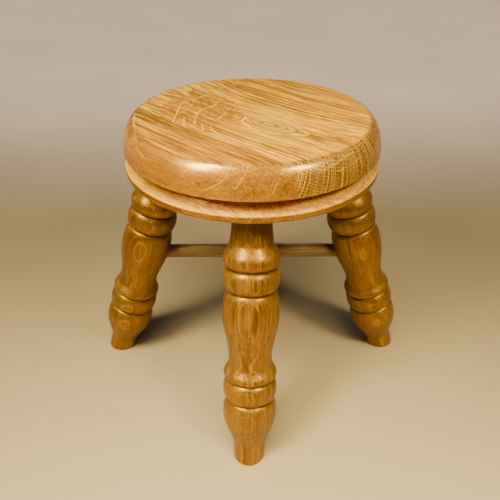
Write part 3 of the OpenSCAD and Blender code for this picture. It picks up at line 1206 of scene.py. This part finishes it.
def leg_oak(name, node, leg, pale, deep, groups):
    """Glossy oak that grows darker down a leg as painted shade, with grime and painted shade in
    the leg's creases.
    """
    wood, bench, shader = varnished(name, LEG_GLOSS)
    bearing, pith, start, tone = LEG_GRAIN[node]
    root, foot = leg_ends(leg)
    down = (foot - root).normalized()
    place = bench.wood_mm(root - down * start, down, on_circle(1, math.radians(bearing), 0))
    way_down = bench.minus(bench.split(place)[0], float(start))
    made = bench.use(
        groups["oak"],
        place=place,
        pith=pith,
        layer_width=1.6,
        tone=bench.scaled(way_down, SHADE_DOWN_LEG, tone),
        pale=pale,
        deep=deep,
        pore=(0.03, 0.008, 0.001, 1),
        ray=(0.38, 0.18, 0.02, 1),
        streaks=1.3,
        coarseness=1.3,
        early_wood=0.45,
        edge_lines=0.4,
        pores=1.0,
        small_rays=0.25,
        broad_rays=0.1,
    )
    # Grime and painted shade in the leg's creases
    grime_and_shade = bench.use(groups["crease"], down=way_down, reach=2.4)["Grime"]
    colour = bench.mix(bench.times(grime_and_shade, 0.8), made["Color"], CREASE_GRIME_AND_SHADE)
    if node in LEG_MARKS:
        shifted = unsteady(bench, bench.world_mm(), 1.5)
        colour = draw(bench, colour, shifted, groups["stroke"], LEG_MARKS[node], 0.85, DARK_MARK_AND_SHADE)
    paint(bench, shader, colour, made["Pits"], rough=0.34, rougher_pits=0.2, pit_depth=0.2)
    return wood


def stretcher_oak(name, node, start, groups):
    """Dull grey-brown wood along a stretcher."""
    wood, bench, shader = varnished(name, STRETCHER_GLOSS)
    place = stretcher_place(*STRETCHERS[node])[0]
    along = place.to_3x3() @ UP
    made = bench.use(
        groups["oak"],
        place=bench.wood_mm(place.translation / MM - along * start, along, ROD_LAYERS_FACE),
        pith=140.0,
        layer_width=2.4,
        tone=0.5,
        pale=(0.2, 0.12, 0.05, 1),
        deep=(0.1, 0.055, 0.024, 1),
        pore=(0.045, 0.022, 0.009, 1),
        ray=(0.21, 0.125, 0.056, 1),
        early_wood=0.4,
        pores=0.6,
        small_rays=0.3,
        broad_rays=0.1,
    )
    shifted = unsteady(bench, bench.world_mm(), 1.0)
    colour = draw(bench, made["Color"], shifted, groups["stroke"], STRETCHER_MARKS, 1.0, DARK_MARK_AND_SHADE)
    paint(bench, shader, colour, made["Pits"], rough=0.5, rougher_pits=0.1, pit_depth=0.15)
    return wood


def mix_woods():
    """Every piece's own wood, by the name of its node."""
    groups = {"oak": oak_group(), "stroke": stroke_group(), "crease": crease_group()}
    seat_groups = (groups["oak"], groups["stroke"])
    woods = {
        "seat_board_front": front_board_oak(*seat_groups),
        "seat_board_middle": middle_board_oak(*seat_groups),
        "seat_board_back": back_board_oak(*seat_groups),
        "leg_right_strip": leg_oak(
            "strip_oak", "leg_right_strip", "leg_right", STRIP_PALE, STRIP_DEEP, groups
        ),
    }
    for leg in LEGS:
        woods[leg] = leg_oak(leg + "_oak", leg, leg, LEG_PALE, LEG_DEEP, groups)
    stretchers = (
        ("low_stretcher_wood", "stretcher_left_right", 0),
        ("high_stretcher_wood", "stretcher_front_back", 500),
    )
    for name, node, start in stretchers:
        woods[node] = stretcher_oak(name, node, start, groups)
    return woods


# Floor

FLOOR_HALF_M = 4
PAPER_DARK, PAPER_PALE = (0.21, 0.15, 0.08, 1), (0.265, 0.19, 0.1, 1)


def floor_paper():
    """Plain beige paper, a little cloudy."""
    paper = bpy.data.materials.new("beige_paper")
    paper.use_nodes = True
    bench = Bench(paper.node_tree)
    shader = paper.node_tree.nodes["Principled BSDF"]
    cloud = bench.noise(bench.world_mm(), lengths=(260, 260, 260), seed=1.7, detail=4)
    bench.feed(shader.inputs["Base Color"], bench.mix(cloud, PAPER_DARK, PAPER_PALE))
    shader.inputs["Roughness"].default_value = 0.8
    return paper


def lay_floor():
    """A level sheet of paper that reaches well past the picture."""
    sheet = bmesh.new()
    far = FLOOR_HALF_M
    corners = [(-far, -far), (far, -far), (far, far), (-far, far)]
    sheet.faces.new([sheet.verts.new((x, y, 0)) for x, y in corners])
    floor = piece_from(sheet, "floor")
    floor.data.materials.append(floor_paper())


# Making


def ease_foot(blank, centre):
    """Rounds the arris between the foot's side and its sawn end."""
    for point in blank.verts:
        rise = max(point.co.z / MM, 0)
        if rise < FOOT_EASE:
            inset = (FOOT_EASE - math.sqrt(FOOT_EASE**2 - (FOOT_EASE - rise) ** 2)) * MM
            out = Vector((point.co.x - centre.x, point.co.y - centre.y, 0))
            if out.length > 2 * inset:
                point.co -= out.normalized() * inset


def make_leg(leg):
    """The turned leg, sawn level at the seat and the floor, with its tenon."""
    place = leg_place(leg)
    blank = turn([(radius, -down) for down, radius in leg_outline()], LEG_SIDES)
    blank.transform(place)
    saw(blank, UP * SEAT_UNDER * MM, UP)
    for height in FOOT_ROWS:
        score(blank, UP * height * MM, UP)
    saw(blank, (0, 0, 0), -UP)
    ease_foot(blank, leg_ends(leg)[1] * MM)
    piece = piece_from(blank, leg)
    inside_neck = NECK[1] / 2
    tenon_start = place @ Matrix.Translation((0, 0, -inside_neck * MM))
    work(piece, round_bar(TENON_R, TENON_LEN + inside_neck, tenon_start), "UNION")
    return piece


def drill_stretcher_hole(piece, leg):
    """The blind hole for the stretcher that ends in this leg."""
    for start, end, height in STRETCHERS.values():
        if leg in (start, end):
            opposite = start if leg == end else end
            place, half = stretcher_place(opposite, leg, height)
            depth = half - STRETCHER_STOP + END_GAP
            work(piece, round_bar(STRETCHER_R + GLUE_GAP, depth, place), "DIFFERENCE")


def split_off_strip(piece, leg):
    """Parts the glued strip from the leg along its glue line."""
    place = leg_place(leg)
    way = on_circle(1, STRIP_BEARING, 0)
    point = place @ (way * STRIP_OFFSET * MM)
    normal = place.to_3x3() @ way
    strip_blank, leg_blank = bmesh.new(), bmesh.new()
    strip_blank.from_mesh(piece.data)
    leg_blank.from_mesh(piece.data)
    saw_through_hole(strip_blank, point, -normal)
    saw_through_hole(leg_blank, point, normal)
    leg_blank.to_mesh(piece.data)
    leg_blank.free()
    return piece_from(strip_blank, "turned_leg_right_strip")


def make_stretcher(name, from_leg, to_leg, height):
    """A plain round rod that stops short of both legs' axes."""
    place, half = stretcher_place(from_leg, to_leg, height)
    length = half - STRETCHER_STOP
    rows = [-length + 2 * length * i / ROD_ROWS for i in range(ROD_ROWS + 1)]
    blank = turn([(STRETCHER_R, row) for row in rows], ROD_SIDES)
    blank.transform(place)
    return piece_from(blank, name)


def make_board(name, from_line, to_line):
    """The part of the turned seat between two lines along the grain, with its mortises."""
    blank = turn(seat_outline(), SEAT_SIDES)
    blank.transform(Matrix.Translation(UP * STOOL_H * MM))
    if from_line is not None:
        saw(blank, ACROSS * from_line * MM, -ACROSS)
    if to_line is not None:
        saw(blank, ACROSS * to_line * MM, ACROSS)
    piece = piece_from(blank, name)
    depth = TENON_LEN + END_GAP
    near = TENON_R + TENON_LEAN
    for leg in LEGS:
        line = leg_ends(leg)[0].dot(ACROSS)
        past_start = from_line is None or line > from_line - near
        before_end = to_line is None or line < to_line + near
        if past_start and before_end:
            start = leg_place(leg) @ Matrix.Translation((0, 0, -depth * MM))
            work(piece, round_bar(TENON_R + GLUE_GAP, 2 * depth, start), "DIFFERENCE")
    return piece


def build_seat(woods):
    """The three boards of the seat."""
    boards = (
        ("front", None, -FRONT_JOINT, "seat_oak_brown"),
        ("middle", -FRONT_JOINT, BACK_JOINT, "seat_oak_pale"),
        ("back", BACK_JOINT, None, "seat_oak_golden"),
    )
    for side, from_line, to_line, slot_name in boards:
        node = "seat_board_" + side
        board = make_board("seat_oak_" + side, from_line, to_line)
        finish_piece(board, node, woods[node])


def build_legs(woods):
    """The four legs, and the strip of the right one."""
    for leg in LEGS:
        piece = make_leg(leg)
        drill_stretcher_hole(piece, leg)
        if leg == "leg_right":
            strip = split_off_strip(piece, leg)
            finish_piece(strip, "leg_right_strip", woods["leg_right_strip"])
        piece.name = "turned_" + leg
        finish_piece(piece, leg, woods[leg])


def build_stretchers(woods):
    """Both round rods between opposite legs."""
    for node, ends in STRETCHERS.items():
        rod = make_stretcher(node.replace("stretcher", "rod"), *ends)
        finish_piece(rod, node, woods[node])


set_camera()
set_lights()
lay_floor()
stool_woods = mix_woods()
build_seat(stool_woods)
build_legs(stool_woods)
build_stretchers(stool_woods)
